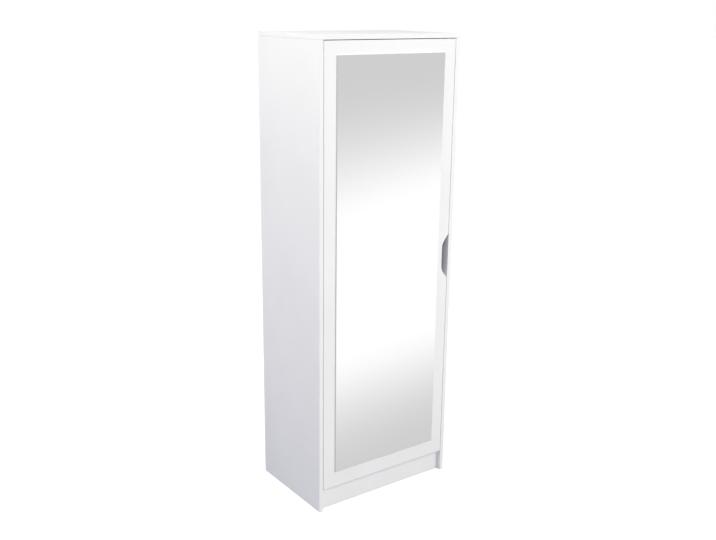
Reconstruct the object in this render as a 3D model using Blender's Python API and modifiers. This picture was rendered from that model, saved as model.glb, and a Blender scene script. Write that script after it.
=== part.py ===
"""Tall shoe cabinet with one mirror door.

White melamine boards make the carcass. The inset door turns on concealed single-pivot hinges
on the left and has a finger notch in its right edge. The front faces -Y, left is -X, +Z is up,
and the origin is on the floor under the middle of the cabinet.
"""
import math

import bmesh
import bpy
from mathutils import Matrix, Vector

MM = 0.001

# Gap between pieces that touch
SEAT = 0.3 * MM

# Carcass boards
WIDTH = 600 * MM
DEPTH = 395 * MM
HEIGHT = 1720 * MM
BOARD = 16 * MM
BOARD_ROUNDING = 0.6 * MM
PLINTH_HEIGHT = 85 * MM
PLINTH_BEHIND_DOOR = 1.5 * MM
BACK_THICKNESS = 3 * MM
BACK_INSET = 12 * MM
GROOVE_DEPTH = 7 * MM

# Shelves and the rows of holes that carry them
PIN_PITCH = 32 * MM
PITCHES_PER_SHELF = 7
HOLES_PER_SHELF = 3
LOOSE_SHELF_SETBACK = 16 * MM
LOOSE_SHELF_REAR_GAP = 1 * MM
PIN_ROW_INSET = 37 * MM
PIN_RADIUS = 2.5 * MM
PIN_STEM_RADIUS = 3 * MM
PIN_STEM_LENGTH = 9 * MM
PIN_STEM_CHAMFER = 0.8 * MM
PIN_COLLAR_RADIUS = 4.5 * MM
PIN_COLLAR_LENGTH = 1.5 * MM
PIN_HOLE_DEPTH = 10 * MM

# Door, mirror and finger notch
DOOR_BOARD = 16 * MM
DOOR_ROUNDING = 1 * MM
DOOR_TOP_GAP = 2.5 * MM
DOOR_BOTTOM_GAP = 1.5 * MM
MIRROR_GLASS = 4 * MM
MIRROR_ARRIS = 0.8 * MM
MIRROR_SIDE_MARGIN = 50 * MM
MIRROR_TOP_MARGIN = 46.5 * MM
MIRROR_BOTTOM_MARGIN = 61 * MM
NOTCH_CENTRE_Z = 901 * MM
NOTCH_HEIGHT = 174 * MM
NOTCH_FLAT = 100 * MM
NOTCH_DEPTH = 29 * MM
NOTCH_INNER_RADIUS = 48 * MM
NOTCH_OUTER_RADIUS = 15 * MM
NOTCH_RUN_OUT = 20 * MM

# Concealed hinge: cup in the door, goose-neck arm on a plate on the side panel
HINGE_COUNT = 4
CUP_BORE_RADIUS = 17.5 * MM
CUP_BORE_DEPTH = 13 * MM
CUP_TO_DOOR_EDGE = 4.5 * MM
CUP_WALL = 1 * MM
CUP_RIM_RADIUS = 18.7 * MM
CUP_RIM_THICKNESS = 1.2 * MM
WING_LENGTH = 62 * MM
WING_WIDTH = 18 * MM
WING_OFFSET = 6 * MM
WING_THICKNESS = 1 * MM
WING_HOLE_SPACING = 48 * MM
WING_HOLE_RADIUS = 2.2 * MM
PIVOT_FROM_CUP_CENTRE = 10 * MM
HINGE_PIN_RADIUS = 1.5 * MM
KNUCKLE_RADIUS = 2.6 * MM
LUG_WIDTH = 5.2 * MM
LUG_THICKNESS = 2.5 * MM
TURN_CLEARANCE = 0.5 * MM
SHELF_TURN_CLEARANCE = 1.5 * MM
ARM_WIDTH = 14 * MM
ARM_THICKNESS = 2.4 * MM
NECK_CLEARANCE = 0.9 * MM
NECK_BEND = 3 * MM
ARM_BEND = 7 * MM
PLATE_BASE = 2.5 * MM
PLATE_RIDGE = 6.2 * MM
PLATE_RIDGE_WIDTH = 12 * MM
PLATE_WING_LENGTH = 48 * MM
PLATE_WING_WIDTH = 15 * MM
PLATE_HOLE_SPACING = 32 * MM
PLATE_HOLE_RADIUS = 2.4 * MM
PLATE_ROW = 62 * MM
PLATE_REACH = 16 * MM
ARM_END_MARGIN = 3 * MM
SCREW_HEAD_RADIUS = 3.8 * MM
SCREW_HEAD_HEIGHT = 2.2 * MM
SCREW_SHANK_RADIUS = 1.8 * MM
SCREW_HOLE_FLOOR = 2 * MM
SCREW_SLOT_TRAVEL = 4 * MM
DRIVE_WIDTH = 0.9 * MM
DRIVE_SPAN = 4.4 * MM
DRIVE_DEPTH = 1.2 * MM

# Magnetic catch under the fixed shelf
CATCH_LENGTH = 46 * MM
CATCH_HEIGHT = 14 * MM
CATCH_DEPTH = 22 * MM
CATCH_CORNER = 3 * MM
CATCH_FROM_DOOR_EDGE = 108 * MM
CATCH_SCREW_RADIUS = 2 * MM
CATCH_SCREW_SPACING = 38 * MM
MAGNET_LENGTH = 26 * MM
MAGNET_HEIGHT = 8 * MM
MAGNET_DEPTH = 12 * MM
MAGNET_PROUD = 0.5 * MM
STRIKE_LENGTH = 40 * MM
STRIKE_HEIGHT = 15 * MM
STRIKE_THICKNESS = 1.2 * MM
STRIKE_CORNER = 2 * MM

# Facets
ARC_STEPS = 6
NOTCH_STEPS = 10
PIN_SIDES = 10
SMALL_SIDES = 12
CUP_SIDES = 32
SMOOTH_ANGLE = math.radians(35)
WELD = 0.001 * MM

# Depths are measured back from the plane of the door's front face
FRONT_Y = (SEAT + MIRROR_GLASS - DEPTH) / 2
INNER_LEFT = BOARD - WIDTH / 2
INNER_RIGHT = WIDTH / 2 - BOARD
INNER_TOP = HEIGHT - BOARD
BACK_FRONT = DEPTH - BACK_INSET - BACK_THICKNESS

# Hinge pivot, from the door's hinge edge and from the door's front face
PIVOT_FROM_EDGE = CUP_TO_DOOR_EDGE + CUP_BORE_RADIUS - PIVOT_FROM_CUP_CENTRE
PIVOT_DEPTH = DOOR_BOARD - CUP_BORE_DEPTH + CUP_WALL + 2 * SEAT + KNUCKLE_RADIUS
ROUNDED_OFF = DOOR_ROUNDING * (1 - math.sqrt(0.5))
FRONT_SWEEP = math.hypot(PIVOT_FROM_EDGE - ROUNDED_OFF, PIVOT_DEPTH - ROUNDED_OFF)
DOOR_SIDE_GAP = FRONT_SWEEP - PIVOT_FROM_EDGE + TURN_CLEARANCE
REAR_SWEEP = math.hypot(PIVOT_FROM_EDGE, DOOR_BOARD - PIVOT_DEPTH)

# Door outline
DOOR_LEFT = INNER_LEFT + DOOR_SIDE_GAP
DOOR_RIGHT = INNER_RIGHT - DOOR_SIDE_GAP
DOOR_BOTTOM = PLINTH_HEIGHT + DOOR_BOTTOM_GAP
DOOR_TOP = INNER_TOP - DOOR_TOP_GAP
PIVOT_X = DOOR_LEFT + PIVOT_FROM_EDGE
PIVOT_Y = FRONT_Y + PIVOT_DEPTH
CUP_X = PIVOT_X + PIVOT_FROM_CUP_CENTRE
DOOR_REAR_Y = FRONT_Y + DOOR_BOARD

# Fixed boards stay clear of the door's turning edge
FIXED_FRONT = PIVOT_DEPTH + REAR_SWEEP + SHELF_TURN_CLEARANCE
LOOSE_FRONT = FIXED_FRONT + LOOSE_SHELF_SETBACK
LOOSE_REAR = BACK_FRONT - LOOSE_SHELF_REAR_GAP
PIN_ROWS = {"front": LOOSE_FRONT + PIN_ROW_INSET, "rear": LOOSE_REAR - PIN_ROW_INSET}

# Shelf levels are the undersides of the shelves, spread evenly between bottom and top
BOTTOM_TOP = PLINTH_HEIGHT + SEAT + BOARD
SHELF_STEP = PIN_PITCH * PITCHES_PER_SHELF
SHELF_COUNT = int((INNER_TOP - BOTTOM_TOP) // SHELF_STEP) - 1
FIRST_SHELF = (BOTTOM_TOP + INNER_TOP - (SHELF_COUNT - 1) * SHELF_STEP - BOARD) / 2
SHELF_LEVELS = [FIRST_SHELF + SHELF_STEP * index for index in range(SHELF_COUNT)]
FIXED_LEVEL = SHELF_LEVELS[SHELF_COUNT // 2]
LOOSE_LEVELS = [level for level in SHELF_LEVELS if level != FIXED_LEVEL]
PIN_DROP = SEAT + PIN_STEM_RADIUS

# Turns a mesh drawn flat in XY so that its thickness runs along X or along Y
THICK_ALONG_X = Matrix(((0, 0, 1, 0), (1, 0, 0, 0), (0, 1, 0, 0), (0, 0, 0, 1)))
THICK_ALONG_Y = Matrix(((1, 0, 0, 0), (0, 0, 1, 0), (0, -1, 0, 0), (0, 0, 0, 1)))


def clear_scene():
    for thing in list(bpy.data.objects):
        bpy.data.objects.remove(thing, do_unlink=True)


def new_collection(name):
    made = bpy.data.collections.new(name)
    bpy.context.scene.collection.children.link(made)
    return made


def new_material(name, colour, roughness, metallic=0.0):
    made = bpy.data.materials.new(name)
    made.use_nodes = True
    shader = made.node_tree.nodes["Principled BSDF"]
    shader.inputs["Base Color"].default_value = (*colour, 1.0)
    shader.inputs["Roughness"].default_value = roughness
    shader.inputs["Metallic"].default_value = metallic
    return made


clear_scene()
PARTS = new_collection("shoe_cabinet_with_mirror")
CUTTERS = new_collection("cutters")
MELAMINE = new_material("white_melamine", (0.88, 0.88, 0.89), 0.35)
HARDBOARD = new_material("white_hardboard", (0.84, 0.84, 0.84), 0.5)
SILVERED = new_material("silvered_glass", (0.9, 0.91, 0.91), 0.02, 1.0)
STEEL = new_material("nickel_plated_steel", (0.62, 0.61, 0.59), 0.28, 1.0)
PLASTIC = new_material("white_plastic", (0.86, 0.86, 0.85), 0.45)
MAGNET = new_material("magnet_poles", (0.3, 0.3, 0.31), 0.4, 1.0)


def finished_mesh(bm):
    """Mesh from a bmesh, welded, with its faces pointing out."""
    bmesh.ops.remove_doubles(bm, verts=bm.verts, dist=WELD)
    bmesh.ops.recalc_face_normals(bm, faces=bm.faces)
    mesh = bpy.data.meshes.new("solid")
    bm.to_mesh(mesh)
    bm.free()
    return mesh


def box_mesh(size):
    """Box centred on its own origin."""
    bm = bmesh.new()
    bmesh.ops.create_cube(bm, size=1.0, matrix=Matrix.Diagonal((*size, 1.0)))
    return finished_mesh(bm)


def cylinders_mesh(radius, length, sides, axis, centres):
    """Equal cylinders along one axis, each centred on one of the centres."""
    turn = Vector((0, 0, 1)).rotation_difference(Vector(axis)).to_matrix().to_4x4()
    bm = bmesh.new()
    for centre in centres:
        bmesh.ops.create_cone(bm, cap_ends=True, segments=sides, radius1=radius, radius2=radius,
                              depth=length, matrix=Matrix.Translation(centre) @ turn)
    return finished_mesh(bm)


def frozen_mesh(thing):
    """Evaluated mesh of an object that only served to make it; the object is removed."""
    graph = bpy.context.evaluated_depsgraph_get()
    made = bpy.data.meshes.new_from_object(thing.evaluated_get(graph))
    bpy.data.objects.remove(thing, do_unlink=True)
    bm = bmesh.new()
    bm.from_mesh(made)
    return finished_mesh(bm)


def turned_mesh(profile, sides):
    """Solid turned about Z from a (radius, height) profile that runs down its outer side."""
    line = bpy.data.meshes.new("profile")
    points = [(radius, 0, height) for radius, height in profile]
    line.from_pydata(points, [(index, index + 1) for index in range(len(points) - 1)], [])
    blank = bpy.data.objects.new("blank", line)
    CUTTERS.objects.link(blank)
    screw = blank.modifiers.new("Turn", "SCREW")
    screw.steps = sides
    screw.render_steps = sides
    screw.use_merge_vertices = True
    screw.merge_threshold = WELD
    return frozen_mesh(blank)


def outline_mesh(points, thickness):
    """Flat outline in XY, filled and extruded evenly to both sides of its plane."""
    curve = bpy.data.curves.new("outline", "CURVE")
    curve.dimensions = "2D"
    curve.fill_mode = "BOTH"
    curve.extrude = thickness / 2
    spline = curve.splines.new("POLY")
    spline.points.add(len(points) - 1)
    for knot, point in zip(spline.points, points):
        knot.co = (point.x, point.y, 0, 1)
    spline.use_cyclic_u = True
    blank = bpy.data.objects.new("blank", curve)
    CUTTERS.objects.link(blank)
    return frozen_mesh(blank)


def rounded_points(corners, steps=ARC_STEPS):
    """Points along (x, y, radius) corners, with an arc at each corner that has a radius."""
    points = []
    for index, (x, y, radius) in enumerate(corners):
        corner = Vector((x, y))
        if radius == 0:
            points.append(corner)
            continue
        before = (Vector(corners[index - 1][:2]) - corner).normalized()
        after = (Vector(corners[(index + 1) % len(corners)][:2]) - corner).normalized()
        half = before.angle(after) / 2
        centre = corner + (before + after).normalized() * radius / math.sin(half)
        spoke = corner + before * radius / math.tan(half) - centre
        side = math.copysign(1, before.cross(after))
        for step in range(steps + 1):
            turn = Matrix.Rotation(-side * (math.pi - 2 * half) * step / steps, 2)
            points.append(centre + turn @ spoke)
    return points


def rounded_rectangle(width, height, radius):
    x, y = width / 2, height / 2
    return rounded_points([(x, y, radius), (-x, y, radius), (-x, -y, radius), (x, -y, radius)])


def strip_points(path, thickness):
    """Outline of a strip of even thickness that follows an open path."""
    left, right = [], []
    for index, point in enumerate(path):
        ahead = path[min(index + 1, len(path) - 1)]
        behind = path[max(index - 1, 0)]
        along = (ahead - behind).normalized()
        offset = Vector((-along.y, along.x)) * thickness / 2
        left.append(point + offset)
        right.append(point - offset)
    return left + right[::-1]


def stand(thing, place, parent):
    """Puts an object, under a parent or free, at a place given in the cabinet's frame."""
    thing.parent = parent
    thing.location = Vector(place) - (parent.location if parent else Vector())


def add_piece(name, mesh, finish, place, parent=None):
    """Named part of the cabinet."""
    mesh.materials.clear()
    mesh.materials.append(finish)
    piece = bpy.data.objects.new(name, mesh)
    PARTS.objects.link(piece)
    stand(piece, place, parent)
    return piece


def add_board(name, low, high, finish=MELAMINE, parent=None, rounding=BOARD_ROUNDING):
    """Board between two corners, with its edges broken."""
    low, high = Vector(low), Vector(high)
    piece = add_piece(name, box_mesh(high - low), finish, (low + high) / 2, parent)
    bevel = piece.modifiers.new("Edges", "BEVEL")
    bevel.width = rounding
    bevel.segments = 1
    return piece


def add_boolean(piece, mesh, place=(0, 0, 0), operation="DIFFERENCE"):
    """Cut or join a mesh at a place; the cutter moves with the piece and has its own collection."""
    cutter = bpy.data.objects.new(f"{piece.name}_cutter", mesh)
    CUTTERS.objects.link(cutter)
    stand(cutter, place, piece.parent)
    cutter.hide_render = True
    cutter.display_type = "WIRE"
    change = piece.modifiers.new(operation.title(), "BOOLEAN")
    change.operation = operation
    change.solver = "EXACT"
    change.object = cutter
    return cutter


def machined_mesh(mesh, changes):
    """Mesh after a list of (mesh, place, operation) changes made at its own origin."""
    blank = bpy.data.objects.new("blank", mesh)
    CUTTERS.objects.link(blank)
    tools = [add_boolean(blank, *change) for change in changes]
    made = frozen_mesh(blank)
    for tool in tools:
        bpy.data.objects.remove(tool, do_unlink=True)
    made.shade_smooth()
    made.set_sharp_from_angle(angle=SMOOTH_ANGLE)
    return made


def turned(mesh, matrix):
    mesh.transform(matrix)
    return mesh


def pin_hole_centres(x):
    """Centres of the shelf-pin holes, in groups round each loose shelf, in two rows."""
    steps = [index - (HOLES_PER_SHELF - 1) / 2 for index in range(HOLES_PER_SHELF)]
    return [(x, FRONT_Y + depth, level - PIN_DROP + step * PIN_PITCH)
            for level in LOOSE_LEVELS for step in steps for depth in PIN_ROWS.values()]


def build_side(name, outer, inner):
    """Side panel from its outer to its inner face, with back groove and shelf-pin holes."""
    low = (min(outer, inner), FRONT_Y, 0)
    high = (max(outer, inner), FRONT_Y + DEPTH, INNER_TOP - SEAT)
    panel = add_board(name, low, high)
    groove = box_mesh((2 * GROOVE_DEPTH, BACK_THICKNESS + 2 * SEAT, 2 * HEIGHT))
    add_boolean(panel, groove, (inner, FRONT_Y + BACK_FRONT + BACK_THICKNESS / 2, HEIGHT / 2))
    holes = cylinders_mesh(PIN_RADIUS + SEAT, 2 * PIN_HOLE_DEPTH, PIN_SIDES, (1, 0, 0),
                           pin_hole_centres(inner))
    add_boolean(panel, holes)


def build_carcass():
    build_side("side_panel_left", -WIDTH / 2, INNER_LEFT)
    build_side("side_panel_right", WIDTH / 2, INNER_RIGHT)
    add_board("top_panel", (-WIDTH / 2, FRONT_Y, INNER_TOP), (WIDTH / 2, FRONT_Y + DEPTH, HEIGHT))
    left, right = INNER_LEFT + SEAT, INNER_RIGHT - SEAT
    plinth_y = DOOR_REAR_Y + PLINTH_BEHIND_DOOR
    add_board("plinth_board", (left, plinth_y, 0), (right, plinth_y + BOARD, PLINTH_HEIGHT))
    front, rear = FRONT_Y + FIXED_FRONT, FRONT_Y + BACK_FRONT - SEAT
    add_board("bottom_panel", (left, front, BOTTOM_TOP - BOARD), (right, rear, BOTTOM_TOP))
    add_board("fixed_shelf", (left, front, FIXED_LEVEL), (right, rear, FIXED_LEVEL + BOARD))
    reach = GROOVE_DEPTH - SEAT
    back_y = FRONT_Y + BACK_FRONT
    add_board("back_panel", (INNER_LEFT - reach, back_y, BOTTOM_TOP - BOARD),
              (INNER_RIGHT + reach, back_y + BACK_THICKNESS, INNER_TOP - SEAT), HARDBOARD)


def shelf_pin_mesh():
    """Pin about Z: peg below the collar, stem above it; the panel's face is at zero."""
    collar_top = SEAT + PIN_COLLAR_LENGTH
    stem_top = collar_top + PIN_STEM_LENGTH
    return turned_mesh([
        (0, stem_top),
        (PIN_STEM_RADIUS - PIN_STEM_CHAMFER, stem_top),
        (PIN_STEM_RADIUS, stem_top - PIN_STEM_CHAMFER),
        (PIN_STEM_RADIUS, collar_top),
        (PIN_COLLAR_RADIUS, collar_top),
        (PIN_COLLAR_RADIUS, SEAT),
        (PIN_RADIUS, SEAT),
        (PIN_RADIUS, SEAT - PIN_HOLE_DEPTH),
        (0, SEAT - PIN_HOLE_DEPTH),
    ], PIN_SIDES)


def build_loose_shelves():
    pin = shelf_pin_mesh()
    pin.shade_smooth()
    pin.set_sharp_from_angle(angle=SMOOTH_ANGLE)
    end_gap = SEAT + PIN_COLLAR_LENGTH + SEAT
    left, right = INNER_LEFT + end_gap, INNER_RIGHT - end_gap
    for number, level in enumerate(LOOSE_LEVELS, 1):
        add_board(f"shelf_{number}", (left, FRONT_Y + LOOSE_FRONT, level),
                  (right, FRONT_Y + LOOSE_REAR, level + BOARD))
        for side, x, turn in (("left", INNER_LEFT, math.pi / 2), ("right", INNER_RIGHT, -math.pi / 2)):
            for row, depth in PIN_ROWS.items():
                piece = add_piece(f"shelf_pin_{number}_{side}_{row}", pin, STEEL,
                                  (x, FRONT_Y + depth, level - PIN_DROP))
                piece.rotation_euler.y = turn


def notch_points():
    """Finger notch about its own middle, with the door's edge along x = SEAT."""
    edge, deep = SEAT, -NOTCH_DEPTH
    mouth, flat = NOTCH_HEIGHT / 2, NOTCH_FLAT / 2
    outside = NOTCH_RUN_OUT
    return rounded_points([
        (outside, mouth + outside, 0),
        (edge, mouth + outside, 0),
        (edge, mouth, NOTCH_OUTER_RADIUS),
        (deep, flat, NOTCH_INNER_RADIUS),
        (deep, -flat, NOTCH_INNER_RADIUS),
        (edge, -mouth, NOTCH_OUTER_RADIUS),
        (edge, -mouth - outside, 0),
        (outside, -mouth - outside, 0),
    ], NOTCH_STEPS)


def build_door(axis, heights):
    door = add_board("door_panel", (DOOR_LEFT, FRONT_Y, DOOR_BOTTOM), (DOOR_RIGHT, DOOR_REAR_Y, DOOR_TOP),
                     parent=axis, rounding=DOOR_ROUNDING)
    door.modifiers["Edges"].segments = 2
    notch = turned(outline_mesh(notch_points(), 3 * DOOR_BOARD), THICK_ALONG_Y)
    add_boolean(door, notch, (DOOR_RIGHT, FRONT_Y + DOOR_BOARD / 2, NOTCH_CENTRE_Z))
    bores = cylinders_mesh(CUP_BORE_RADIUS, 2 * CUP_BORE_DEPTH, CUP_SIDES, (0, 1, 0),
                           [(CUP_X, DOOR_REAR_Y, height) for height in heights])
    add_boolean(door, bores)
    glass_rear = FRONT_Y - SEAT
    add_board("mirror_glass",
              (DOOR_LEFT + MIRROR_SIDE_MARGIN, glass_rear - MIRROR_GLASS, DOOR_BOTTOM + MIRROR_BOTTOM_MARGIN),
              (DOOR_RIGHT - MIRROR_SIDE_MARGIN, glass_rear, DOOR_TOP - MIRROR_TOP_MARGIN),
              SILVERED, axis, MIRROR_ARRIS)


def hinge_heights():
    """Middles of evenly spread compartments, so that no shelf meets a hinge."""
    floors = [BOTTOM_TOP] + [level + BOARD for level in SHELF_LEVELS]
    ceilings = SHELF_LEVELS + [INNER_TOP]
    middles = [(low + high) / 2 for low, high in zip(floors, ceilings)]
    spread = (len(middles) - 1) / (HINGE_COUNT - 1)
    return [middles[round(index * spread)] for index in range(HINGE_COUNT)]


def hinge_cup_mesh():
    """Cup about its own middle at the door's rear face, mouth towards +Y, pivot towards -X."""
    outer = CUP_BORE_RADIUS - SEAT
    inner = outer - CUP_WALL
    bottom = SEAT - CUP_BORE_DEPTH
    floor = bottom + CUP_WALL
    rim_top = SEAT + CUP_RIM_THICKNESS
    pivot_x, pivot_z = -PIVOT_FROM_CUP_CENTRE, PIVOT_DEPTH - DOOR_BOARD
    plug = turned_mesh([(0, rim_top), (CUP_RIM_RADIUS, rim_top), (CUP_RIM_RADIUS, SEAT), (outer, SEAT),
                        (outer, bottom), (0, bottom)], CUP_SIDES)
    wings = outline_mesh(rounded_rectangle(WING_WIDTH, WING_LENGTH, WING_WIDTH / 3), WING_THICKNESS)
    mouth_height = 2 * CUP_BORE_DEPTH
    mouth = cylinders_mesh(inner, mouth_height, CUP_SIDES, (0, 0, 1), [(0, 0, floor + mouth_height / 2)])
    wing_holes = cylinders_mesh(WING_HOLE_RADIUS, 4 * CUP_RIM_THICKNESS, SMALL_SIDES, (0, 0, 1),
                                [(WING_OFFSET, side * WING_HOLE_SPACING / 2, 0) for side in (-1, 1)])
    lug_low, lug_high = floor - CUP_WALL / 2, pivot_z + KNUCKLE_RADIUS
    lug_y = ARM_WIDTH / 2 + 2 * SEAT + LUG_THICKNESS / 2
    lug = box_mesh((LUG_WIDTH, LUG_THICKNESS, lug_high - lug_low))
    lug_z = (lug_low + lug_high) / 2
    pin_hole_length = 2 * lug_y + LUG_THICKNESS + 2 * SEAT
    pin_hole = cylinders_mesh(HINGE_PIN_RADIUS + SEAT, pin_hole_length, SMALL_SIDES, (0, 1, 0),
                              [(pivot_x, 0, pivot_z)])
    cup = machined_mesh(plug, [
        (wings, (WING_OFFSET, 0, SEAT + WING_THICKNESS / 2), "UNION"),
        (mouth, (0, 0, 0), "DIFFERENCE"),
        (lug, (pivot_x, lug_y, lug_z), "UNION"),
        (lug.copy(), (pivot_x, -lug_y, lug_z), "UNION"),
        (pin_hole, (0, 0, 0), "DIFFERENCE"),
        (wing_holes, (0, 0, 0), "DIFFERENCE"),
    ])
    return turned(cup, THICK_ALONG_Y)


def hinge_pin_mesh():
    """Pin along Z through both lugs of the cup."""
    length = ARM_WIDTH + 4 * SEAT + 2 * LUG_THICKNESS
    pin = cylinders_mesh(HINGE_PIN_RADIUS, length, SMALL_SIDES, (0, 0, 1), [(0, 0, 0)])
    pin.shade_smooth()
    pin.set_sharp_from_angle(angle=SMOOTH_ANGLE)
    return pin


def arm_run():
    """Middle of the arm over its plate: distance right of the pivot, and its start and end behind it."""
    right = SEAT + PLATE_RIDGE + SEAT + ARM_THICKNESS / 2 - (PIVOT_X - INNER_LEFT)
    start = PLATE_ROW - PLATE_REACH - PIVOT_DEPTH
    end = PLATE_ROW + PLATE_REACH - ARM_END_MARGIN - PIVOT_DEPTH
    return right, start, end


def hinge_arm_mesh():
    """Goose-neck arm about the pivot: it leaves the cup beside the door's turning edge."""
    neck = REAR_SWEEP + NECK_CLEARANCE + ARM_THICKNESS / 2
    right, start, end = arm_run()
    path = rounded_points([(0, 0, 0), (neck, 0, NECK_BEND), (neck, neck, ARM_BEND), (right, start, ARM_BEND),
                           (right, end, 0)])
    strip = outline_mesh(strip_points(path, ARM_THICKNESS), ARM_WIDTH)
    knuckle = cylinders_mesh(KNUCKLE_RADIUS, ARM_WIDTH + SEAT, SMALL_SIDES, (0, 0, 1), [(0, 0, 0)])
    pin_hole = cylinders_mesh(HINGE_PIN_RADIUS + SEAT, 2 * ARM_WIDTH, SMALL_SIDES, (0, 0, 1), [(0, 0, 0)])
    slot_width = 2 * (SCREW_SHANK_RADIUS + SEAT)
    slot = rounded_rectangle(slot_width + SCREW_SLOT_TRAVEL, slot_width, slot_width / 2 - WELD)
    slot_cutter = turned(outline_mesh(slot, 3 * ARM_THICKNESS), THICK_ALONG_X)
    return machined_mesh(strip, [
        (knuckle, (0, 0, 0), "UNION"),
        (pin_hole, (0, 0, 0), "DIFFERENCE"),
        (slot_cutter, (right, PLATE_ROW - PIVOT_DEPTH, 0), "DIFFERENCE"),
    ])


def hinge_plate_mesh():
    """Cross-shaped plate about its screw row, with its foot on the plane x = 0."""
    wings = rounded_rectangle(PLATE_WING_WIDTH, PLATE_WING_LENGTH, PLATE_WING_WIDTH / 3)
    base = turned(outline_mesh(wings, PLATE_BASE), THICK_ALONG_X)
    base.transform(Matrix.Translation((PLATE_BASE / 2, 0, 0)))
    ridge = box_mesh((PLATE_RIDGE, 2 * PLATE_REACH, PLATE_RIDGE_WIDTH))
    holes = cylinders_mesh(PLATE_HOLE_RADIUS, 4 * PLATE_BASE, SMALL_SIDES, (1, 0, 0),
                           [(0, 0, side * PLATE_HOLE_SPACING / 2) for side in (-1, 1)])
    screw_depth = PLATE_RIDGE - SCREW_HOLE_FLOOR
    screw_hole = cylinders_mesh(SCREW_SHANK_RADIUS + SEAT, 2 * screw_depth, SMALL_SIDES, (1, 0, 0),
                                [(PLATE_RIDGE, 0, 0)])
    return machined_mesh(base, [
        (ridge, (PLATE_RIDGE / 2, 0, 0), "UNION"),
        (holes, (0, 0, 0), "DIFFERENCE"),
        (screw_hole, (0, 0, 0), "DIFFERENCE"),
    ])


def hinge_screw_mesh():
    """Cross-head screw along +X, with the underside of its head on the plane x = 0."""
    shank = SEAT + ARM_THICKNESS + SEAT + PLATE_RIDGE - SCREW_HOLE_FLOOR - SEAT
    body = turned_mesh([
        (0, SCREW_HEAD_HEIGHT),
        (SCREW_HEAD_RADIUS - SCREW_HEAD_HEIGHT / 2, SCREW_HEAD_HEIGHT),
        (SCREW_HEAD_RADIUS, SCREW_HEAD_HEIGHT / 2),
        (SCREW_HEAD_RADIUS, 0),
        (SCREW_SHANK_RADIUS, 0),
        (SCREW_SHANK_RADIUS, -shank),
        (0, -shank),
    ], SMALL_SIDES)
    drives = [box_mesh((DRIVE_SPAN, DRIVE_WIDTH, 2 * DRIVE_DEPTH)),
              box_mesh((DRIVE_WIDTH, DRIVE_SPAN, 2 * DRIVE_DEPTH))]
    screw = machined_mesh(body, [(drive, (0, 0, SCREW_HEAD_HEIGHT), "DIFFERENCE") for drive in drives])
    return turned(screw, THICK_ALONG_X)


def build_hinges(axis, heights):
    cup, pin, arm = hinge_cup_mesh(), hinge_pin_mesh(), hinge_arm_mesh()
    plate, screw = hinge_plate_mesh(), hinge_screw_mesh()
    row_y = FRONT_Y + PLATE_ROW
    head_x = INNER_LEFT + SEAT + PLATE_RIDGE + SEAT + ARM_THICKNESS + SEAT
    for number, height in enumerate(heights, 1):
        add_piece(f"hinge_cup_{number}", cup, STEEL, (CUP_X, DOOR_REAR_Y, height), axis)
        add_piece(f"hinge_pin_{number}", pin, STEEL, (PIVOT_X, PIVOT_Y, height), axis)
        add_piece(f"hinge_arm_{number}", arm, STEEL, (PIVOT_X, PIVOT_Y, height))
        add_piece(f"hinge_plate_{number}", plate, STEEL, (INNER_LEFT + SEAT, row_y, height))
        add_piece(f"hinge_screw_{number}", screw, STEEL, (head_x, row_y, height))


def build_catch(axis):
    """Magnet in a housing under the fixed shelf, and the steel strike it holds on the door."""
    middle_x = DOOR_RIGHT - CATCH_FROM_DOOR_EDGE
    middle_z = FIXED_LEVEL - SEAT - CATCH_HEIGHT / 2
    strike_rear = DOOR_REAR_Y + SEAT + STRIKE_THICKNESS
    magnet_front = strike_rear + SEAT
    housing_front = magnet_front + MAGNET_PROUD
    body = outline_mesh(rounded_rectangle(CATCH_LENGTH, CATCH_DEPTH, CATCH_CORNER), CATCH_HEIGHT)
    pocket_depth = MAGNET_DEPTH - MAGNET_PROUD + SEAT
    pocket = box_mesh((MAGNET_LENGTH + 2 * SEAT, 2 * pocket_depth, MAGNET_HEIGHT + 2 * SEAT))
    screws = cylinders_mesh(CATCH_SCREW_RADIUS, 2 * CATCH_HEIGHT, SMALL_SIDES, (0, 0, 1),
                            [(side * CATCH_SCREW_SPACING / 2, 0, 0) for side in (-1, 1)])
    housing = machined_mesh(body, [(pocket, (0, -CATCH_DEPTH / 2, 0), "DIFFERENCE"),
                                   (screws, (0, 0, 0), "DIFFERENCE")])
    add_piece("catch_housing", housing, PLASTIC, (middle_x, housing_front + CATCH_DEPTH / 2, middle_z))
    add_piece("catch_magnet", box_mesh((MAGNET_LENGTH, MAGNET_DEPTH, MAGNET_HEIGHT)), MAGNET,
              (middle_x, magnet_front + MAGNET_DEPTH / 2, middle_z))
    plate = outline_mesh(rounded_rectangle(STRIKE_LENGTH, STRIKE_HEIGHT, STRIKE_CORNER), STRIKE_THICKNESS)
    add_piece("catch_strike", turned(plate, THICK_ALONG_Y), STEEL,
              (middle_x, strike_rear - STRIKE_THICKNESS / 2, middle_z), axis)


def build_cabinet():
    heights = hinge_heights()
    axis = bpy.data.objects.new("door_axis", None)
    PARTS.objects.link(axis)
    axis.location = (PIVOT_X, PIVOT_Y, 0)
    build_carcass()
    build_loose_shelves()
    build_door(axis, heights)
    build_hinges(axis, heights)
    build_catch(axis)


build_cabinet()
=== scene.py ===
"""Looks of the tall shoe cabinet with a mirror door.

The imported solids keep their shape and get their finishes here. Screws, nails and cover caps are added as
pieces of their own. The studio is white, and the camera stands at the photograph's viewing angle.
"""
import math

import bmesh
import bpy
from mathutils import Matrix, Vector


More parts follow.
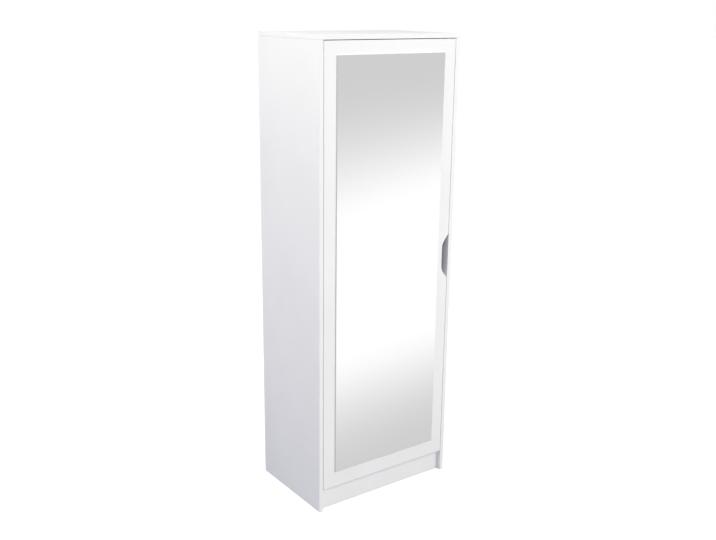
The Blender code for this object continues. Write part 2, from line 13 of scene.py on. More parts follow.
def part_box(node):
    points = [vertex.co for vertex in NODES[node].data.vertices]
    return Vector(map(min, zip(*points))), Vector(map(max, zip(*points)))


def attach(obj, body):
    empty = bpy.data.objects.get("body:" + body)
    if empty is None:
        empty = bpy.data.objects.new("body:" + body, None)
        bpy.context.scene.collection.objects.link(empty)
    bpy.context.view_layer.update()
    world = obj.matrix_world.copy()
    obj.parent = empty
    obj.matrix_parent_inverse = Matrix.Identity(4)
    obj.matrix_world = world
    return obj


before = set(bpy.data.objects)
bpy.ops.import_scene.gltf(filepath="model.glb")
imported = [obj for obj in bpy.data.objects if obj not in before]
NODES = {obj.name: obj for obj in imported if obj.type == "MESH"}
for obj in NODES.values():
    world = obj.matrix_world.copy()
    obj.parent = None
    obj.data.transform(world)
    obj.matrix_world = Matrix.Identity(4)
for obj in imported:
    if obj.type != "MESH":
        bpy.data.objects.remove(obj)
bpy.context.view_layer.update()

MM = 0.001

# Directions in the cabinet's frame, whose front faces -Y
TO_REAR = (0, 1, 0)
TO_RIGHT = (1, 0, 0)
DOWN = (0, 0, -1)

# Photograph's width in pixels and its camera
IMAGE_WIDTH = 716
FOCAL_PIXELS = 929.9
SENSOR_WIDTH = 36.0
CAMERA_PLACE = (-1.993, -2.758, 1.818)
CAMERA_YAW = math.radians(35.92)
CAMERA_PITCH = math.radians(-16.0)
CAMERA_ROLL = math.radians(0.68)

# Melamine boards: paper skin, edge bands, worn edges and pearl grain. Noise is in cycles a metre here and
# below, and low and high are the levels of the noise between which it eases from 0 to 1.
SKIN = 0.7 * MM
BAND = 1.0 * MM
BAND_LINE = 0.12 * MM
WEAR_WIDTH = 1.4 * MM
WHITE = (0.865, 0.865, 0.872)
WARM_WHITE = (0.845, 0.845, 0.848)
BAND_GLUE = (0.62, 0.61, 0.59)
GLUE_SHARE = 0.5
WORN_WHITE = (0.74, 0.735, 0.72)
WORN_SHARE = 0.35
BOARD_ROUGHNESS = 0.34
MARK_ROUGHNESS = 0.10
WORN_ROUGHNESS = 0.12
CLOUDS = {"scale": 5.0, "detail": 4.0, "low": 0.35, "high": 0.7}
RUBS = {"scale": 60.0, "detail": 3.0, "low": 0.4, "high": 0.75}
MARKS = {"scale": 14.0, "detail": 6.0, "low": 0.45, "high": 0.8}
GRAIN = {"scale": 1100.0, "detail": 2.0}
GRAIN_BUMP = {"distance": 0.03 * MM, "strength": 0.35}

# Raw chipboard: chips that lie flat in the board, dust and pits
CHIP_SCALE = 420.0
CHIP_STRETCH_THIN = 2.2
CHIP_STRETCH_WIDE = 0.8
CHIP_TONES = [(0.0, (0.25, 0.15, 0.08)), (0.35, (0.47, 0.33, 0.19)), (0.7, (0.62, 0.47, 0.30)),
              (1.0, (0.72, 0.60, 0.43))]
CHIP_DUST = (0.55, 0.42, 0.27)
DUST_SCALE = 900.0
DUST_SHARE = 0.5
RAW_ROUGHNESS = 0.85
PIT_BUMP = {"distance": 0.4 * MM, "strength": 0.8}

# Hardboard back: lacquer on its front, screened fibre behind
LACQUER = 0.3 * MM
LACQUER_TONES = ((0.80, 0.80, 0.80), (0.83, 0.83, 0.83))
LACQUER_SCALE = 12.0
LACQUER_ROUGHNESS = 0.42
FIBRE = {"scale": 260.0, "detail": 8.0, "stretch": (1.0, 1.0, 0.45)}
FIBRE_TONES = [(0.25, (0.17, 0.095, 0.05)), (0.5, (0.27, 0.165, 0.095)), (0.8, (0.38, 0.25, 0.15))]
FIBRE_EXTRA_ROUGHNESS = 0.4
STAINS = {"scale": 7.0, "detail": 5.0, "low": 0.4, "high": 0.75}
STAIN = (0.20, 0.12, 0.07)
STAIN_SHARE = 0.3
SCREEN_PITCH = 1.6 * MM
SCREEN_BUMP = {"distance": 0.15 * MM, "strength": 0.5}
PEEL = {"scale": 420.0, "detail": 2.0}
PEEL_BUMP = {"distance": 0.05 * MM, "strength": 0.3}

# Mirror: silver that dulls close to the rim, and ground edges behind the glass's front face
SILVER = (0.967, 0.967, 0.967)
DULL_SILVER = (0.79, 0.80, 0.795)
DULL_SHARE = 0.5
DULL_WITHIN = 1.2 * MM
CLEAR_FROM = 3.0 * MM
RAGGED_WIDTH = 1.5 * MM
RAGGED_SCALE = 160.0
GROUND_GLASS = (0.56, 0.59, 0.58)
GROUND_ROUGHNESS = 0.22
POLISHED_WITHIN = 0.1 * MM
GROUND_FROM = 0.5 * MM

# Nickel-plated steel
BRIGHT_STEEL = (0.71, 0.70, 0.67)
DULL_STEEL = (0.63, 0.62, 0.60)
STEEL_ROUGHNESS = 0.20
DRAWN_ROUGHNESS = 0.12
PATCHES = {"scale": 90.0, "detail": 4.0}
DRAWN = {"scale": 1600.0, "detail": 3.0, "stretch": (1.0, 1.0, 0.05)}
DRAWN_BUMP = {"distance": 0.01 * MM, "strength": 0.25}

# White moulded plastic
PLASTIC_TONES = ((0.80, 0.80, 0.79), (0.85, 0.85, 0.84))
PLASTIC_SCALE = 40.0
PLASTIC_ROUGHNESS = 0.36
SPARK_ROUGHNESS = 0.2
SPARKS = {"scale": 2600.0, "detail": 2.0}
SPARK_BUMP = {"distance": 0.04 * MM, "strength": 0.5}

# Ferrite magnet between steel pole plates
POLE_PLATE = 1.6 * MM
POLE_STEEL = (0.52, 0.51, 0.50)
FERRITE_TONES = ((0.035, 0.035, 0.038), (0.09, 0.09, 0.095))
MAGNET_ROUGHNESS = 0.3
SPECKLE_ROUGHNESS = 0.3
SPECKLE = {"scale": 1800.0, "detail": 3.0}
SPECKLE_BUMP = {"distance": 0.05 * MM, "strength": 0.5}

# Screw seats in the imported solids
WING_OFFSET = 6 * MM
WING_HOLE_SPACING = 48 * MM
RIM_ABOVE_WING = 0.2 * MM
PLATE_BASE = 2.5 * MM
PLATE_HOLE_SPACING = 32 * MM
CATCH_SCREW_SPACING = 38 * MM
STRIKE_SCREW_SPACING = 33 * MM

# Screw heads with a cross recess, and the turns of their crosses in radians
PAN_RADIUS = 3.6 * MM
PAN_HEIGHT = 1.9 * MM
PAN_RIM = 0.6 * MM
LENS_RADIUS = 2.8 * MM
LENS_HEIGHT = 0.35 * MM
LENS_RIM = 0.1 * MM
DRIVE_SPAN = 3.6 * MM
DRIVE_WIDTH = 0.8 * MM
DRIVE_TAPER = 0.55
PAN_DRIVE_DEPTH = 1.1 * MM
LENS_DRIVE_DEPTH = 0.25 * MM
HINGE_SPIN = 0.7
HINGE_SIDE_SPIN = 0.9
CATCH_SPIN = 0.4
STRIKE_SPIN = 0.5
STRIKE_SIDE_SPIN = 0.6

# Nails in the back and caps over the cam fittings
NAIL_RADIUS = 2.8 * MM
NAIL_HEIGHT = 0.6 * MM
NAIL_RIM = 0.25 * MM
NAILS_PER_ROW = 5
NAIL_END_INSET = 50 * MM
CAP_RADIUS = 8.5 * MM
CAP_HEIGHT = 1.1 * MM
CAP_RIM = 0.5 * MM
CAP_FROM_BOARD_END = 34 * MM
CAP_FROM_EDGE = 60 * MM

# Meshes of the small pieces
TURN_STEPS = 32
DOME_STEPS = 5
MERGE_DISTANCE = 0.001 * MM
SLIVER = 0.003 * MM
SHARP_ANGLE = math.radians(35)

# Room light: neutral all round, cooler to the left and dim overhead, by the X and Z of a unit direction
ROOM_ROUND = (1.055, 1.055, 1.06)
ROOM_COOL = (0.92, 0.937, 1.25)
COOL_FROM = 0.0
COOL_TO = -0.7
ROOM_OVERHEAD = (0.315, 0.31, 0.30)
OVERHEAD_FROM = 0.1
OVERHEAD_TO = 0.9

# Room in reflections: grey at the horizon, white above a height, which is the Z of a unit direction
HORIZON_GREY = 0.64
WHITE_SKY_HEIGHT = 0.6

# Lamps: place, the point that each one faces, width, power in watts and colour
WARM_LAMP = (1.015, 1.0, 0.86)
PLAIN_LAMP = (1.0, 1.0, 0.955)
LAMPS = {
    "side_lamp": {"place": (-2.1, -0.15, 2.9), "target": (-0.3, 0, 1.3), "size": 1.0, "power": 36,
                  "colour": WARM_LAMP},
    "front_lamp": {"place": (2.3, -4.3, 3.5), "target": (0, -0.2, 1.0), "size": 2.0, "power": 158,
                   "colour": PLAIN_LAMP},
    "fill_lamp": {"place": (-3.3, -4.9, 2.4), "target": (0, -0.2, 1.0), "size": 2.0, "power": 64,
                  "colour": PLAIN_LAMP},
}

# Floor: glow and shade as the camera sees it, and the light that it throws back on the cabinet
FLOOR_HALF = 60.0
FLOOR_DROP = 0.2 * MM
FLOOR_GLOW = 0.76
FLOOR_SHADE = 0.50
FLOOR_BOUNCE = 0.20

# Floor as the mirror shows it, closed or open: a painted pool of white light before the cabinet and left of
# it, with painted shade near the cabinet and grey far from it, by distances along two directions
POOL_GREY = 0.645
POOL_WHITE = 1.04
NEAR_DIRECTION = (-0.14, -0.99, 0.0)
NEAR_GREY = 0.37
NEAR_WHITE = 1.42
FAR_DIRECTION = (-0.40, -0.917, 0.0)
FAR_WHITE = 2.58
FAR_GREY = 11.8

# Sockets of the colour form of the Mix node
MIX_SHARE = 0
MIX_FIRST = 6
MIX_SECOND = 7
MIX_RESULT = 2


def add_node(tree, kind, inputs=None, **settings):
    """Node of a kind with its settings, and its inputs set to values or linked to sockets."""
    made = tree.nodes.new(kind)
    for key, value in settings.items():
        setattr(made, key, value)
    for key, value in (inputs or {}).items():
        if isinstance(value, bpy.types.NodeSocket):
            tree.links.new(value, made.inputs[key])
        else:
            made.inputs[key].default_value = value
    return made


def link_inputs(tree, shader, sockets):
    """Links sockets to a shader's inputs, by the inputs' names."""
    for name, socket in sockets.items():
        tree.links.new(socket, shader.inputs[name])


def calculate(tree, operation, first, second=0.0):
    """Result of a math operation on one or two values."""
    return add_node(tree, "ShaderNodeMath", {0: first, 1: second}, operation=operation).outputs[0]


def scaled(tree, value, factor, base=0.0):
    """The base plus a factor times the value."""
    inputs = {0: value, 1: factor, 2: base}
    return add_node(tree, "ShaderNodeMath", inputs, operation="MULTIPLY_ADD").outputs[0]


def smooth_step(tree, value, low, high, to_low=0.0, to_high=1.0):
    """Value eased from to_low to to_high as it goes from low to high."""
    made = add_node(tree, "ShaderNodeMapRange", interpolation_type="SMOOTHSTEP", inputs={
        "Value": value, "From Min": low, "From Max": high, "To Min": to_low, "To Max": to_high})
    return made.outputs["Result"]


def opaque(colour):
    """Colour with full alpha; a socket is passed on as it is."""
    return colour if isinstance(colour, bpy.types.NodeSocket) else (*colour, 1.0)


def mix_colours(tree, share, first, second):
    """Colour that goes from the first to the second as the share goes from 0 to 1."""
    inputs = {MIX_SHARE: share, MIX_FIRST: opaque(first), MIX_SECOND: opaque(second)}
    return add_node(tree, "ShaderNodeMix", inputs, data_type="RGBA").outputs[MIX_RESULT]


def stretched(tree, place, stretch):
    """Position with each axis times its stretch."""
    return add_node(tree, "ShaderNodeMapping", {"Vector": place, "Scale": stretch}).outputs[0]


def noise(tree, place, scale, detail=3.0, stretch=None):
    """Noise in cycles a metre, stretched along the axes where a stretch is given."""
    if stretch:
        place = stretched(tree, place, stretch)
    made = add_node(tree, "ShaderNodeTexNoise", {"Vector": place, "Scale": scale, "Detail": detail})
    return made.outputs["Fac"]


def blotches(tree, place, scale, detail, low, high):
    """Soft patches: noise that eases from 0 to 1 between two of its levels."""
    return smooth_step(tree, noise(tree, place, scale, detail), low, high)


def colour_ramp(tree, share, stops):
    """Colour from a ramp of (position, colour) stops."""
    made = add_node(tree, "ShaderNodeValToRGB", {"Fac": share})
    elements = made.color_ramp.elements
    while len(elements) < len(stops):
        elements.new(1.0)
    for element, (position, colour) in zip(elements, stops):
        element.position = position
        element.color = opaque(colour)
    return made.outputs["Color"]


def add_bump(tree, height, distance, strength, under=None):
    """Normal that a height bends, over the normal of another bump where one is given."""
    inputs = {"Height": height, "Distance": distance, "Strength": strength}
    if under:
        inputs["Normal"] = under
    return add_node(tree, "ShaderNodeBump", inputs).outputs["Normal"]


def new_finish(name):
    """Material, its node tree, its Principled shader and a socket of the object's own places in metres."""
    material = bpy.data.materials.new(name)
    material.use_nodes = True
    tree = material.node_tree
    shader = tree.nodes["Principled BSDF"]
    place = add_node(tree, "ShaderNodeTexCoord").outputs["Object"]
    return material, tree, shader, place


def set_finish(thing, material):
    """Makes a material the only one of an object."""
    thing.data.materials.clear()
    thing.data.materials.append(material)


def split_axes(tree, place):
    """Sockets X, Y and Z of a position, by letter."""
    return add_node(tree, "ShaderNodeSeparateXYZ", {"Vector": place}).outputs


def plane_depth(tree, axes, box, plane):
    """Distance in from one plane of a box; a plane is an axis letter and a side, -1 low or 1 high."""
    letter, side = plane
    index = "XYZ".index(letter)
    if side < 0:
        return calculate(tree, "SUBTRACT", axes[letter], box[0][index])
    return calculate(tree, "SUBTRACT", box[1][index], axes[letter])


def nearest(tree, distances):
    """Least of a list of distances."""
    found = distances[0]
    for distance in distances[1:]:
        found = calculate(tree, "MINIMUM", found, distance)
    return found


def rim_distance(tree, axes, box, letters):
    """Distance in from the nearest plane of a box, of both planes along each of the lettered axes."""
    planes = [(letter, side) for letter in letters for side in (-1, 1)]
    return nearest(tree, [plane_depth(tree, axes, box, plane) for plane in planes])


def edge_distance(tree, axes, box):
    """Distance from a point of a box's surface to the nearest edge: the middle one of its three depths."""
    first, second, third = [rim_distance(tree, axes, box, letter) for letter in "XYZ"]
    lower = calculate(tree, "MINIMUM", first, second)
    upper = calculate(tree, "MAXIMUM", first, second)
    return calculate(tree, "MAXIMUM", lower, calculate(tree, "MINIMUM", upper, third))


def band_lines(tree, axes, box, bands):
    """1 on the glue lines of a board's edge bands, 0 elsewhere."""
    offsets = [calculate(tree, "SUBTRACT", plane_depth(tree, axes, box, band), BAND) for band in bands]
    distances = [calculate(tree, "ABSOLUTE", offset) for offset in offsets]
    return smooth_step(tree, nearest(tree, distances), 0.0, BAND_LINE, 1.0, 0.0)


def worn_edges(tree, place, axes, box):
    """1 where a board's edges are rubbed, in patches, 0 elsewhere."""
    edge = smooth_step(tree, edge_distance(tree, axes, box), 0.0, WEAR_WIDTH, 1.0, 0.0)
    return calculate(tree, "MULTIPLY", edge, blotches(tree, place, **RUBS))


def raw_edges(tree, axes, box, faces):
    """1 on the edges that no melamine face or band covers, 0 elsewhere."""
    depth = nearest(tree, [plane_depth(tree, axes, box, face) for face in faces])
    return calculate(tree, "GREATER_THAN", depth, SKIN)


def chipboard(tree, place, thin_axis):
    """Pressed chips of a raw edge: their colour, and the tone of each chip."""
    stretch = [CHIP_STRETCH_THIN if letter == thin_axis else CHIP_STRETCH_WIDE for letter in "XYZ"]
    flat = stretched(tree, place, stretch)
    chips = add_node(tree, "ShaderNodeTexVoronoi", {"Vector": flat, "Scale": CHIP_SCALE}).outputs["Color"]
    tone = add_node(tree, "ShaderNodeSeparateColor", {"Color": chips}).outputs["Red"]
    dust = scaled(tree, noise(tree, place, DUST_SCALE), DUST_SHARE)
    return mix_colours(tree, dust, colour_ramp(tree, tone, CHIP_TONES), CHIP_DUST), tone


def melamine_finish(name, box, faces, bands, thin_axis):
    """White melamine board: pearl grain, soft marks, edge-band lines, worn edges and raw hidden edges."""
    material, tree, shader, place = new_finish(name)
    axes = split_axes(tree, place)
    colour = mix_colours(tree, blotches(tree, place, **CLOUDS), WHITE, WARM_WHITE)
    if bands:
        lines = band_lines(tree, axes, box, bands)
        colour = mix_colours(tree, scaled(tree, lines, GLUE_SHARE), colour, BAND_GLUE)
    worn = worn_edges(tree, place, axes, box)
    colour = mix_colours(tree, scaled(tree, worn, WORN_SHARE), colour, WORN_WHITE)
    rough = scaled(tree, blotches(tree, place, **MARKS), MARK_ROUGHNESS, BOARD_ROUGHNESS)
    rough = scaled(tree, worn, WORN_ROUGHNESS, rough)
    normal = add_bump(tree, noise(tree, place, **GRAIN), **GRAIN_BUMP)
    if faces:
        raw = raw_edges(tree, axes, box, faces)
        chips, tone = chipboard(tree, place, thin_axis)
        colour = mix_colours(tree, raw, colour, chips)
        rough = calculate(tree, "MAXIMUM", rough, scaled(tree, raw, RAW_ROUGHNESS))
        normal = add_bump(tree, calculate(tree, "MULTIPLY", raw, tone), **PIT_BUMP, under=normal)
    link_inputs(tree, shader, {"Base Color": colour, "Roughness": rough, "Normal": normal})
    return material


def hardboard_finish(box):
    """Thin back board: white lacquer inside, brown screened fibre behind."""
    material, tree, shader, place = new_finish("hardboard")
    axes = split_axes(tree, place)
    behind = calculate(tree, "GREATER_THAN", plane_depth(tree, axes, box, ("Y", -1)), LACQUER)
    lacquer = mix_colours(tree, noise(tree, place, LACQUER_SCALE), *LACQUER_TONES)
    fibre = colour_ramp(tree, noise(tree, place, **FIBRE), FIBRE_TONES)
    stains = scaled(tree, blotches(tree, place, **STAINS), STAIN_SHARE)
    brown = mix_colours(tree, stains, fibre, STAIN)
    across, up = [calculate(tree, "SINE", scaled(tree, axes[letter], 2 * math.pi / SCREEN_PITCH))
                  for letter in "XZ"]
    screen = calculate(tree, "MULTIPLY", calculate(tree, "MULTIPLY", across, up), behind)
    peel = add_bump(tree, noise(tree, place, **PEEL), **PEEL_BUMP)
    link_inputs(tree, shader, {
        "Base Color": mix_colours(tree, behind, lacquer, brown),
        "Roughness": scaled(tree, behind, FIBRE_EXTRA_ROUGHNESS, LACQUER_ROUGHNESS),
        "Normal": add_bump(tree, screen, **SCREEN_BUMP, under=peel),
    })
    return material


def mirror_finish(box):
    """Silvered glass: a clear front, silver that dulls close to the rim, and pale green ground edges."""
    material, tree, shader, place = new_finish("mirror")
    axes = split_axes(tree, place)
    ground = smooth_step(tree, plane_depth(tree, axes, box, ("Y", -1)), POLISHED_WITHIN, GROUND_FROM)
    ragged = scaled(tree, noise(tree, place, RAGGED_SCALE), RAGGED_WIDTH, rim_distance(tree, axes, box, "XZ"))
    dulled = smooth_step(tree, ragged, DULL_WITHIN, CLEAR_FROM, 1.0, 0.0)
    silver = mix_colours(tree, scaled(tree, dulled, DULL_SHARE), SILVER, DULL_SILVER)
    link_inputs(tree, shader, {
        "Base Color": mix_colours(tree, ground, silver, GROUND_GLASS),
        "Metallic": calculate(tree, "SUBTRACT", 1.0, ground),
        "Roughness": scaled(tree, ground, GROUND_ROUGHNESS),
    })
    return material


def steel_finish():
    """Nickel plate with fine drawn lines and patches of duller metal."""
    material, tree, shader, place = new_finish("nickel_steel")
    shader.inputs["Metallic"].default_value = 1.0
    drawn = noise(tree, place, **DRAWN)
    link_inputs(tree, shader, {
        "Base Color": mix_colours(tree, noise(tree, place, **PATCHES), BRIGHT_STEEL, DULL_STEEL),
        "Roughness": scaled(tree, drawn, DRAWN_ROUGHNESS, STEEL_ROUGHNESS),
        "Normal": add_bump(tree, drawn, **DRAWN_BUMP),
    })
    return material


def plastic_finish():
    """White moulded plastic with a fine spark texture."""
    material, tree, shader, place = new_finish("plastic")
    sparks = noise(tree, place, **SPARKS)
    link_inputs(tree, shader, {
        "Base Color": mix_colours(tree, noise(tree, place, PLASTIC_SCALE), *PLASTIC_TONES),
        "Roughness": scaled(tree, sparks, SPARK_ROUGHNESS, PLASTIC_ROUGHNESS),
        "Normal": add_bump(tree, sparks, **SPARK_BUMP),
    })
    return material


def magnet_finish(box):
    """Dark ferrite between two steel pole plates."""
    material, tree, shader, place = new_finish("magnet")
    depth = rim_distance(tree, split_axes(tree, place), box, "Z")
    plate = calculate(tree, "LESS_THAN", depth, POLE_PLATE)
    speckle = noise(tree, place, **SPECKLE)
    ferrite = mix_colours(tree, speckle, *FERRITE_TONES)
    link_inputs(tree, shader, {
        "Base Color": mix_colours(tree, plate, ferrite, POLE_STEEL),
        "Metallic": plate,
        "Roughness": scaled(tree, speckle, SPECKLE_ROUGHNESS, MAGNET_ROUGHNESS),
        "Normal": add_bump(tree, speckle, **SPECKLE_BUMP),
    })
    return material


# Melamine faces and edge bands of each kind of board, as planes of its box
FLAT_BOARD = {"faces": [("Z", -1), ("Z", 1), ("Y", -1)], "bands": [("Y", -1)], "thin_axis": "Z"}
SIDE_BOARD = {"faces": [("X", -1), ("X", 1), ("Y", -1)], "bands": [("Y", -1)], "thin_axis": "X"}
TOP_BOARD = {"faces": [("Z", -1), ("Z", 1), ("Y", -1), ("X", -1), ("X", 1)],
             "bands": [("Y", -1), ("X", -1), ("X", 1)], "thin_axis": "Z"}
PLINTH_BOARD = {"faces": [("Y", -1), ("Y", 1), ("Z", 1)], "bands": [], "thin_axis": "Y"}
DOOR_BOARD = {"faces": [], "bands": [("X", -1), ("X", 1), ("Z", -1), ("Z", 1)], "thin_axis": "Y"}
BOARDS = {
    "side_panel_left": SIDE_BOARD,
    "side_panel_right": SIDE_BOARD,
    "top_panel": TOP_BOARD,
    "plinth_board": PLINTH_BOARD,
    "door_panel": DOOR_BOARD,
    "bottom_panel": FLAT_BOARD,
    "fixed_shelf": FLAT_BOARD,
    **{name: FLAT_BOARD for name in NODES if name.startswith("shelf_") and "pin" not in name},
}
# Finishes of single solids that depend on the solid's box
BOX_FINISHES = {"back_panel": hardboard_finish, "mirror_glass": mirror_finish, "catch_magnet": magnet_finish}


def finish_solids(steel, plastic):
    """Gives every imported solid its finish."""
    for name, solid in NODES.items():
        if name in BOARDS:
            finish = melamine_finish(f"melamine_{name}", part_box(name), **BOARDS[name])
        elif name in BOX_FINISHES:
            finish = BOX_FINISHES[name](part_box(name))
        else:
            finish = plastic if name == "catch_housing" else steel
        set_finish(solid, finish)


def new_object(name, data):
    """Object with its data, linked to the scene."""
    made = bpy.data.objects.new(name, data)
    bpy.context.scene.collection.objects.link(made)
    return made


def mesh_of(bm, name):
    """Mesh with a bmesh's faces; the bmesh is freed."""
    mesh = bpy.data.meshes.new(name)
    bm.to_mesh(mesh)
    bm.free()
    return mesh


def turned_mesh(profile):
    """Closed mesh turned about Z from a (radius, height) profile that starts and ends on the axis."""
    bm = bmesh.new()
    points = [bm.verts.new((radius, 0, height)) for radius, height in profile]
    edges = [bm.edges.new(pair) for pair in zip(points, points[1:])]
    bmesh.ops.spin(bm, geom=points + edges, cent=(0, 0, 0), axis=(0, 0, 1), angle=2 * math.pi,
                   steps=TURN_STEPS, use_merge=True)
    bmesh.ops.remove_doubles(bm, verts=bm.verts, dist=MERGE_DISTANCE)
    bmesh.ops.recalc_face_normals(bm, faces=bm.faces)
    return mesh_of(bm, "turned")


def dome_profile(radius, height, rim):
    """Half outline of a domed head whose rim is that tall."""
    arc = [(radius * math.sin(angle), rim + (height - rim) * math.cos(angle))
           for angle in (math.pi / 2 * step / DOME_STEPS for step in range(DOME_STEPS + 1))]
    return arc + [(radius, 0), (0, 0)]


def cross_cutter_mesh(top, depth):
    """Cross that narrows from above a screw's top to a depth under it."""
    half, arm = DRIVE_SPAN / 2, DRIVE_WIDTH / 2
    quarter = [Vector((half, -arm)), Vector((half, arm)), Vector((arm, arm))]
    outline = [Matrix.Rotation(turn * math.pi / 2, 2) @ point for turn in range(4) for point in quarter]
    bm = bmesh.new()
    levels = ((top + depth, 1.0), (top - depth, DRIVE_TAPER))
    upper, lower = [[bm.verts.new((*(point * scale), height)) for point in outline]
                    for height, scale in levels]
    bm.faces.new(upper)
    bm.faces.new(lower[::-1])
    for index in range(len(outline)):
        bm.faces.new((upper[index - 1], lower[index - 1], lower[index], upper[index]))
    bmesh.ops.recalc_face_normals(bm, faces=bm.faces)
    return mesh_of(bm, "cross")


def cross_head_mesh(radius, height, rim, drive_depth):
    """Domed screw head with a cross recess, standing on the plane z = 0."""
    blank = new_object("blank", turned_mesh(dome_profile(radius, height, rim)))
    cutter = new_object("cross", cross_cutter_mesh(height, drive_depth))
    blank.modifiers.new("Cross", "BOOLEAN").object = cutter
    graph = bpy.context.evaluated_depsgraph_get()
    head = bpy.data.meshes.new_from_object(blank.evaluated_get(graph))
    for thing in (blank, cutter):
        bpy.data.objects.remove(thing, do_unlink=True)
    bm = bmesh.new()
    bm.from_mesh(head)
    bmesh.ops.dissolve_degenerate(bm, dist=SLIVER, edges=bm.edges)
    bm.to_mesh(head)
    bm.free()
    return head


def dressed(mesh, material):
    """Mesh with its finish and smooth shading up to the sharp edges."""
    mesh.materials.append(material)
    mesh.shade_smooth()
    mesh.set_sharp_from_angle(angle=SHARP_ANGLE)
    return mesh


def add_piece(name, mesh, body, place, up, spin=0.0):
    """Small piece that stands on a place, with its own Z along up and a turn of spin about it."""
    piece = new_object(name, mesh)
    turn = Vector((0, 0, 1)).rotation_difference(Vector(up)).to_matrix().to_4x4()
    piece.matrix_world = Matrix.Translation(place) @ turn @ Matrix.Rotation(spin, 4, "Z")
    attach(piece, body)


def centre(node):
    """Middle of a solid's box."""
    low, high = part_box(node)
    return (low + high) / 2


def add_hinge_screws(pan):
    """Two screws through the wings of each cup and two through each plate."""
    hinges = sum(name.startswith("hinge_cup") for name in NODES)
    for number in range(1, hinges + 1):
        cup, plate = f"hinge_cup_{number}", f"hinge_plate_{number}"
        wings = centre(cup)
        wings.x += WING_OFFSET
        wings.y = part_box(cup)[1].y - RIM_ABOVE_WING
        base = centre(plate)
        base.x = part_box(plate)[0].x + PLATE_BASE
        for side, label in ((-1, "lower"), (1, "upper")):
            half_up = Vector((0, 0, side / 2))
            spin = HINGE_SPIN * number + HINGE_SIDE_SPIN * side
            add_piece(f"cup_screw_{number}_{label}", pan, "door",
                      wings + half_up * WING_HOLE_SPACING, TO_REAR, spin)
            add_piece(f"plate_screw_{number}_{label}", pan, "carcass",
                      base + half_up * PLATE_HOLE_SPACING, TO_RIGHT, -spin)


def add_catch_screws(pan, lens):
    """Two screws up through the catch housing and two flat ones in the strike."""
    under = centre("catch_housing")
    under.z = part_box("catch_housing")[0].z
    face = centre("catch_strike")
    face.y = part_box("catch_strike")[1].y
    for side, label in ((-1, "left"), (1, "right")):
        half_aside = Vector((side / 2, 0, 0))
        add_piece(f"catch_screw_{label}", pan, "carcass",
                  under + half_aside * CATCH_SCREW_SPACING, DOWN, CATCH_SPIN * side)
        add_piece(f"strike_screw_{label}", lens, "door",
                  face + half_aside * STRIKE_SCREW_SPACING, TO_REAR, STRIKE_SPIN + STRIKE_SIDE_SPIN * side)


def add_back_nails(nail):
    """Rows of nails through the back into the rear edges of the bottom and the fixed shelf."""
    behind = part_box("back_panel")[1].y
    for board in ("bottom_panel", "fixed_shelf"):
        low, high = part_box(board)
        start, end = low.x + NAIL_END_INSET, high.x - NAIL_END_INSET
        for index in range(NAILS_PER_ROW):
            x = start + (end - start) * index / (NAILS_PER_ROW - 1)
            place = (x, behind, (low.z + high.z) / 2)
            add_piece(f"back_nail_{board}_{index + 1}", nail, "carcass", place, TO_REAR)


def add_cover_caps(cap):
    """Caps over the cam fittings, inside the sides at the top and under the fixed shelf and the bottom."""
    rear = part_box("fixed_shelf")[1].y - CAP_FROM_EDGE
    for side, inwards in (("left", 1), ("right", -1)):
        low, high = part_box(f"side_panel_{side}")
        inner = high.x if inwards > 0 else low.x
        for row, y in (("front", low.y + CAP_FROM_EDGE), ("rear", rear)):
            place = (inner, y, high.z - CAP_FROM_BOARD_END)
            add_piece(f"cam_cap_side_{side}_{row}", cap, "carcass", place, (inwards, 0, 0))
            for board in ("bottom_panel", "fixed_shelf"):
                place = (inner + inwards * CAP_FROM_BOARD_END, y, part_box(board)[0].z)
                add_piece(f"cam_cap_{board}_{side}_{row}", cap, "carcass", place, DOWN)


def along(tree, place, direction):
    """Distance of a position along a direction."""
    made = add_node(tree, "ShaderNodeVectorMath", {0: place, 1: direction}, operation="DOT_PRODUCT")
    return made.outputs["Value"]


def way_out(tree, place, direction):
    """Distance along a direction before the cabinet, or along the same one turned to the cabinet's left."""
    x, y, z = direction
    return calculate(tree, "MAXIMUM", along(tree, place, direction), along(tree, place, (y, -x, z)))


def painted_floor_pool(tree, place):
    """Level of the floor in the mirror: a painted pool of white light, with painted shade on its near side
    and grey on its far side.
    """
    # Painted shade: the pool turns grey close to the cabinet, and fades to grey far from it
    near = smooth_step(tree, way_out(tree, place, NEAR_DIRECTION), NEAR_GREY, NEAR_WHITE)
    nearness = calculate(tree, "DIVIDE", 1.0, way_out(tree, place, FAR_DIRECTION))
    far = smooth_step(tree, nearness, 1 / FAR_GREY, 1 / FAR_WHITE)
    return scaled(tree, calculate(tree, "MULTIPLY", near, far), POOL_WHITE - POOL_GREY, POOL_GREY)


def mirrored_rays(tree, rays):
    """1 for rays that a mirror, metal or glass sends on, 0 for all others."""
    return calculate(tree, "MAXIMUM", rays["Is Glossy Ray"], rays["Is Transmission Ray"])


def grey(level):
    """Colour of an even grey."""
    return (level, level, level)


def floor_finish():
    """White where the camera sees it, with the cabinet's shadow; in reflections it glows with a painted pool
    of light.
    """
    material, tree, shader, place = new_finish("studio_floor")
    material.cycles.emission_sampling = "NONE"
    tree.nodes.remove(shader)
    rays = add_node(tree, "ShaderNodeLightPath").outputs
    seen = rays["Is Camera Ray"]
    mirrored = mirrored_rays(tree, rays)
    painted_pool_level = calculate(tree, "MULTIPLY", mirrored, painted_floor_pool(tree, place))
    glow = scaled(tree, seen, FLOOR_GLOW, painted_pool_level)
    bounce = mix_colours(tree, mirrored, grey(FLOOR_BOUNCE), grey(0.0))
    paint = mix_colours(tree, seen, bounce, grey(FLOOR_SHADE))
    diffuse = add_node(tree, "ShaderNodeBsdfDiffuse", {"Color": paint}).outputs[0]
    emission = add_node(tree, "ShaderNodeEmission", {"Strength": glow}).outputs[0]
    both = add_node(tree, "ShaderNodeAddShader", {0: diffuse, 1: emission}).outputs[0]
    link_inputs(tree, tree.nodes["Material Output"], {"Surface": both})
    return material


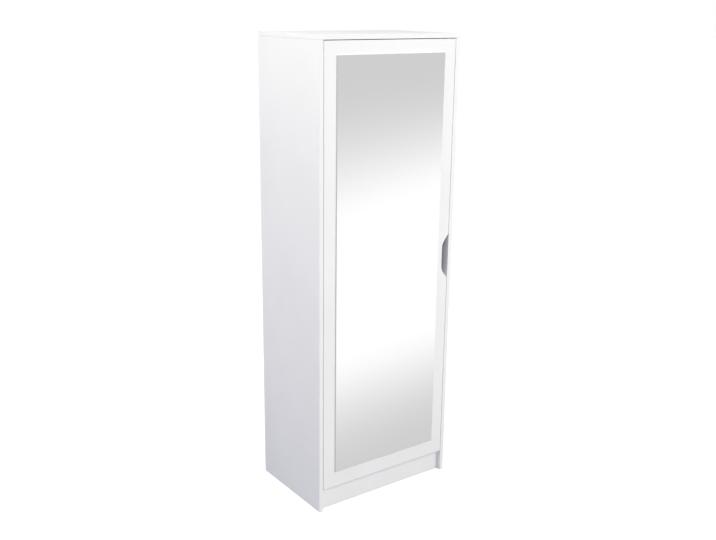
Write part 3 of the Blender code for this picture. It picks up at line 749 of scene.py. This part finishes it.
def add_floor():
    """Wide floor just under the cabinet."""
    bm = bmesh.new()
    bmesh.ops.create_grid(bm, x_segments=2, y_segments=2, size=FLOOR_HALF)
    floor = new_object("floor", mesh_of(bm, "floor"))
    floor.location.z = -FLOOR_DROP
    set_finish(floor, floor_finish())


def add_world():
    """Room light on the cabinet; white where the camera looks past it, grey to white in reflections."""
    world = bpy.data.worlds.new("studio")
    bpy.context.scene.world = world
    world.use_nodes = True
    tree = world.node_tree
    rays = add_node(tree, "ShaderNodeLightPath").outputs
    direction = split_axes(tree, add_node(tree, "ShaderNodeTexCoord").outputs["Generated"])
    cool = smooth_step(tree, direction["X"], COOL_FROM, COOL_TO)
    overhead = smooth_step(tree, direction["Z"], OVERHEAD_FROM, OVERHEAD_TO)
    room = mix_colours(tree, overhead, mix_colours(tree, cool, ROOM_ROUND, ROOM_COOL), ROOM_OVERHEAD)
    sky = smooth_step(tree, direction["Z"], 0.0, WHITE_SKY_HEIGHT, HORIZON_GREY, 1.0)
    light = mix_colours(tree, mirrored_rays(tree, rays), room, sky)
    shown = mix_colours(tree, rays["Is Camera Ray"], light, grey(1.0))
    link_inputs(tree, tree.nodes["Background"], {"Color": shown})


def add_lamp(name, place, target, size, power, colour):
    """Round area lamp that faces a point and doesn't show in reflections."""
    data = bpy.data.lights.new(name, "AREA")
    data.shape = "DISK"
    data.size = size
    data.energy = power
    data.color = colour
    lamp = new_object(name, data)
    lamp.location = place
    lamp.rotation_euler = (Vector(target) - Vector(place)).to_track_quat("-Z", "Y").to_euler()
    lamp.visible_glossy = False


def add_camera():
    """Camera at the photograph's place: turned by its yaw, tilted by its pitch and rolled."""
    data = bpy.data.cameras.new("camera")
    data.sensor_width = SENSOR_WIDTH
    data.lens = FOCAL_PIXELS / IMAGE_WIDTH * SENSOR_WIDTH
    camera = new_object("camera", data)
    yaw = Matrix.Rotation(-CAMERA_YAW, 4, "Z")
    pitch = Matrix.Rotation(math.pi / 2 + CAMERA_PITCH, 4, "X")
    roll = Matrix.Rotation(CAMERA_ROLL, 4, "Z")
    camera.matrix_world = Matrix.Translation(CAMERA_PLACE) @ yaw @ pitch @ roll
    bpy.context.scene.camera = camera


steel = steel_finish()
plastic = plastic_finish()
finish_solids(steel, plastic)
pan_head = dressed(cross_head_mesh(PAN_RADIUS, PAN_HEIGHT, PAN_RIM, PAN_DRIVE_DEPTH), steel)
lens_head = dressed(cross_head_mesh(LENS_RADIUS, LENS_HEIGHT, LENS_RIM, LENS_DRIVE_DEPTH), steel)
nail_head = dressed(turned_mesh(dome_profile(NAIL_RADIUS, NAIL_HEIGHT, NAIL_RIM)), steel)
cover_cap = dressed(turned_mesh(dome_profile(CAP_RADIUS, CAP_HEIGHT, CAP_RIM)), plastic)
add_hinge_screws(pan_head)
add_catch_screws(pan_head, lens_head)
add_back_nails(nail_head)
add_cover_caps(cover_cap)
add_floor()
add_world()
for lamp_name, lamp_settings in LAMPS.items():
    add_lamp(lamp_name, **lamp_settings)
add_camera()
bpy.context.scene.view_settings.view_transform = "Standard"
